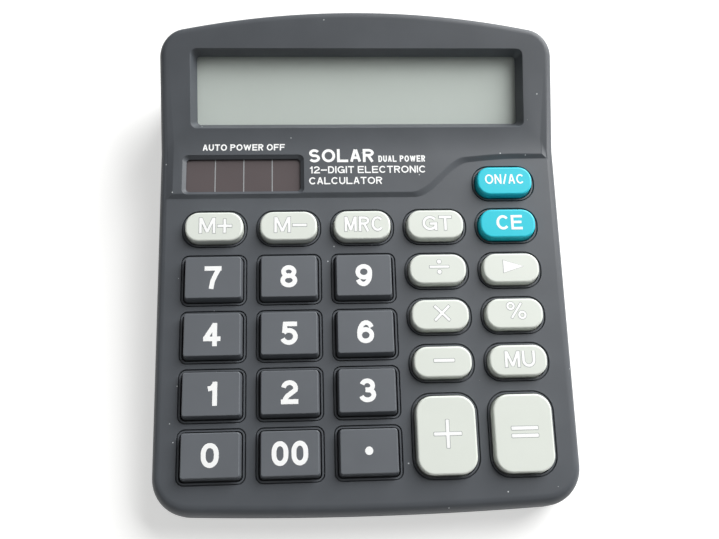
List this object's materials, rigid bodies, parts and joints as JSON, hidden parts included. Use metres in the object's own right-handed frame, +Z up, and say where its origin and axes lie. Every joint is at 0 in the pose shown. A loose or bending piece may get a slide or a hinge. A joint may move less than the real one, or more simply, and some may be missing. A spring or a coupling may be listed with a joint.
{
  "type": "desk calculator",
  "caption": "Wedge-shaped desk calculator with a tilted display, a solar window, sprung keys and a sliding battery door.",
  "frame": {"origin": "centre of the footprint, on the table under the rubber feet", "axes": "+X to the right, +Y from the keys to the display, +Z up"},
  "size_m": [0.1222, 0.1496, 0.0346],
  "materials": {
    "case_plastic": "fine moulded grain",
    "digit_key_plastic": "satin moulded",
    "light_key_plastic": "satin moulded",
    "cyan_key_plastic": "satin moulded",
    "silicone": "matt",
    "circuit_board": "solder resist",
    "epoxy": "cured resin",
    "window_acrylic": "clear polished",
    "display_glass": "grey reflective display",
    "frame_plastic": "moulded",
    "ribbon_film": "film",
    "solar_glass": "brown amorphous cell",
    "battery_sleeve": "printed sleeve",
    "contact_steel": "nickel plated",
    "screw_steel": "zinc plated",
    "foot_rubber": "matt",
    "lead_red": "insulation",
    "lead_black": "insulation"
  },
  "bodies": {
    "case": {"upper_case": "case_plastic", "lower_case": "case_plastic", "keypad_membrane": "silicone", "circuit_board": "circuit_board", "controller_blob": "epoxy", "capacitor": "epoxy", "display_window": "window_acrylic", "display_glass": "display_glass", "display_frame": "frame_plastic", "display_ribbon": "ribbon_film", "solar_cell": "solar_glass", "battery": "battery_sleeve", "positive_contact": "contact_steel", "negative_contact": "contact_steel", "battery_lead_positive": "lead_red", "battery_lead_negative": "lead_black", "solar_lead_positive": "lead_red", "solar_lead_negative": "lead_black", "case_screw_front_left": "screw_steel", "case_screw_front_right": "screw_steel", "case_screw_middle_left": "screw_steel", "case_screw_middle_right": "screw_steel", "case_screw_rear_left": "screw_steel", "case_screw_rear_right": "screw_steel", "board_screw_front_left": "screw_steel", "board_screw_back_left": "screw_steel", "board_screw_front_right": "screw_steel", "board_screw_back_right": "screw_steel", "rubber_foot_front_left": "foot_rubber", "rubber_foot_front_right": "foot_rubber", "rubber_foot_rear_left": "foot_rubber", "rubber_foot_rear_right": "foot_rubber"},
    "key_0": {"key_0": "digit_key_plastic"},
    "key_00": {"key_00": "digit_key_plastic"},
    "key_point": {"key_point": "digit_key_plastic"},
    "key_1": {"key_1": "digit_key_plastic"},
    "key_2": {"key_2": "digit_key_plastic"},
    "key_3": {"key_3": "digit_key_plastic"},
    "key_4": {"key_4": "digit_key_plastic"},
    "key_5": {"key_5": "digit_key_plastic"},
    "key_6": {"key_6": "digit_key_plastic"},
    "key_7": {"key_7": "digit_key_plastic"},
    "key_8": {"key_8": "digit_key_plastic"},
    "key_9": {"key_9": "digit_key_plastic"},
    "key_add": {"key_add": "light_key_plastic"},
    "key_equals": {"key_equals": "light_key_plastic"},
    "key_subtract": {"key_subtract": "light_key_plastic"},
    "key_mark_up": {"key_mark_up": "light_key_plastic"},
    "key_multiply": {"key_multiply": "light_key_plastic"},
    "key_percent": {"key_percent": "light_key_plastic"},
    "key_divide": {"key_divide": "light_key_plastic"},
    "key_backspace": {"key_backspace": "light_key_plastic"},
    "key_memory_add": {"key_memory_add": "light_key_plastic"},
    "key_memory_subtract": {"key_memory_subtract": "light_key_plastic"},
    "key_memory_recall": {"key_memory_recall": "light_key_plastic"},
    "key_grand_total": {"key_grand_total": "light_key_plastic"},
    "key_clear_entry": {"key_clear_entry": "cyan_key_plastic"},
    "key_on_all_clear": {"key_on_all_clear": "cyan_key_plastic"},
    "battery_door": {"battery_door": "case_plastic"}
  },
  "joints": [
    {"name": "key_0_press", "type": "slide", "parent": "case", "child": "key_0", "axis": [0, 0.0872, -0.9962], "range_m": [0, 0.0015], "stiffness_N_per_m": 400, "springref_m": -0.00012, "deforming": ["keypad_membrane"]},
    {"name": "key_00_press", "type": "slide", "parent": "case", "child": "key_00", "axis": [0, 0.0872, -0.9962], "range_m": [0, 0.0015], "stiffness_N_per_m": 400, "springref_m": -0.00012, "deforming": ["keypad_membrane"]},
    {"name": "key_point_press", "type": "slide", "parent": "case", "child": "key_point", "axis": [0, 0.0872, -0.9962], "range_m": [0, 0.0015], "stiffness_N_per_m": 400, "springref_m": -0.00012, "deforming": ["keypad_membrane"]},
    {"name": "key_1_press", "type": "slide", "parent": "case", "child": "key_1", "axis": [0, 0.0872, -0.9962], "range_m": [0, 0.0015], "stiffness_N_per_m": 400, "springref_m": -0.00012, "deforming": ["keypad_membrane"]},
    {"name": "key_2_press", "type": "slide", "parent": "case", "child": "key_2", "axis": [0, 0.0872, -0.9962], "range_m": [0, 0.0015], "stiffness_N_per_m": 400, "springref_m": -0.00012, "deforming": ["keypad_membrane"]},
    {"name": "key_3_press", "type": "slide", "parent": "case", "child": "key_3", "axis": [0, 0.0872, -0.9962], "range_m": [0, 0.0015], "stiffness_N_per_m": 400, "springref_m": -0.00012, "deforming": ["keypad_membrane"]},
    {"name": "key_4_press", "type": "slide", "parent": "case", "child": "key_4", "axis": [0, 0.0872, -0.9962], "range_m": [0, 0.0015], "stiffness_N_per_m": 400, "springref_m": -0.00012, "deforming": ["keypad_membrane"]},
    {"name": "key_5_press", "type": "slide", "parent": "case", "child": "key_5", "axis": [0, 0.0872, -0.9962], "range_m": [0, 0.0015], "stiffness_N_per_m": 400, "springref_m": -0.00012, "deforming": ["keypad_membrane"]},
    {"name": "key_6_press", "type": "slide", "parent": "case", "child": "key_6", "axis": [0, 0.0872, -0.9962], "range_m": [0, 0.0015], "stiffness_N_per_m": 400, "springref_m": -0.00012, "deforming": ["keypad_membrane"]},
    {"name": "key_7_press", "type": "slide", "parent": "case", "child": "key_7", "axis": [0, 0.0872, -0.9962], "range_m": [0, 0.0015], "stiffness_N_per_m": 400, "springref_m": -0.00012, "deforming": ["keypad_membrane"]},
    {"name": "key_8_press", "type": "slide", "parent": "case", "child": "key_8", "axis": [0, 0.0872, -0.9962], "range_m": [0, 0.0015], "stiffness_N_per_m": 400, "springref_m": -0.00012, "deforming": ["keypad_membrane"]},
    {"name": "key_9_press", "type": "slide", "parent": "case", "child": "key_9", "axis": [0, 0.0872, -0.9962], "range_m": [0, 0.0015], "stiffness_N_per_m": 400, "springref_m": -0.00012, "deforming": ["keypad_membrane"]},
    {"name": "key_add_press", "type": "slide", "parent": "case", "child": "key_add", "axis": [0, 0.0872, -0.9962], "range_m": [0, 0.0015], "stiffness_N_per_m": 400, "springref_m": -0.00012, "deforming": ["keypad_membrane"]},
    {"name": "key_equals_press", "type": "slide", "parent": "case", "child": "key_equals", "axis": [0, 0.0872, -0.9962], "range_m": [0, 0.0015], "stiffness_N_per_m": 400, "springref_m": -0.00012, "deforming": ["keypad_membrane"]},
    {"name": "key_subtract_press", "type": "slide", "parent": "case", "child": "key_subtract", "axis": [0, 0.0872, -0.9962], "range_m": [0, 0.0015], "stiffness_N_per_m": 400, "springref_m": -0.00012, "deforming": ["keypad_membrane"]},
    {"name": "key_mark_up_press", "type": "slide", "parent": "case", "child": "key_mark_up", "axis": [0, 0.0872, -0.9962], "range_m": [0, 0.0015], "stiffness_N_per_m": 400, "springref_m": -0.00012, "deforming": ["keypad_membrane"]},
    {"name": "key_multiply_press", "type": "slide", "parent": "case", "child": "key_multiply", "axis": [0, 0.0872, -0.9962], "range_m": [0, 0.0015], "stiffness_N_per_m": 400, "springref_m": -0.00012, "deforming": ["keypad_membrane"]},
    {"name": "key_percent_press", "type": "slide", "parent": "case", "child": "key_percent", "axis": [0, 0.0872, -0.9962], "range_m": [0, 0.0015], "stiffness_N_per_m": 400, "springref_m": -0.00012, "deforming": ["keypad_membrane"]},
    {"name": "key_divide_press", "type": "slide", "parent": "case", "child": "key_divide", "axis": [0, 0.0872, -0.9962], "range_m": [0, 0.0015], "stiffness_N_per_m": 400, "springref_m": -0.00012, "deforming": ["keypad_membrane"]},
    {"name": "key_backspace_press", "type": "slide", "parent": "case", "child": "key_backspace", "axis": [0, 0.0872, -0.9962], "range_m": [0, 0.0015], "stiffness_N_per_m": 400, "springref_m": -0.00012, "deforming": ["keypad_membrane"]},
    {"name": "key_memory_add_press", "type": "slide", "parent": "case", "child": "key_memory_add", "axis": [0, 0.0872, -0.9962], "range_m": [0, 0.0015], "stiffness_N_per_m": 400, "springref_m": -0.00012, "deforming": ["keypad_membrane"]},
    {"name": "key_memory_subtract_press", "type": "slide", "parent": "case", "child": "key_memory_subtract", "axis": [0, 0.0872, -0.9962], "range_m": [0, 0.0015], "stiffness_N_per_m": 400, "springref_m": -0.00012, "deforming": ["keypad_membrane"]},
    {"name": "key_memory_recall_press", "type": "slide", "parent": "case", "child": "key_memory_recall", "axis": [0, 0.0872, -0.9962], "range_m": [0, 0.0015], "stiffness_N_per_m": 400, "springref_m": -0.00012, "deforming": ["keypad_membrane"]},
    {"name": "key_grand_total_press", "type": "slide", "parent": "case", "child": "key_grand_total", "axis": [0, 0.0872, -0.9962], "range_m": [0, 0.0015], "stiffness_N_per_m": 400, "springref_m": -0.00012, "deforming": ["keypad_membrane"]},
    {"name": "key_clear_entry_press", "type": "slide", "parent": "case", "child": "key_clear_entry", "axis": [0, 0.0872, -0.9962], "range_m": [0, 0.0015], "stiffness_N_per_m": 400, "springref_m": -0.00012, "deforming": ["keypad_membrane"]},
    {"name": "key_on_all_clear_press", "type": "slide", "parent": "case", "child": "key_on_all_clear", "axis": [0, 0.0872, -0.9962], "range_m": [0, 0.0015], "stiffness_N_per_m": 400, "springref_m": -0.00012, "deforming": ["keypad_membrane"]},
    {"name": "battery_door_slide", "type": "slide", "parent": "case", "child": "battery_door", "axis": [0, 1, 0], "range_m": [0, 0.026]}
  ]
}
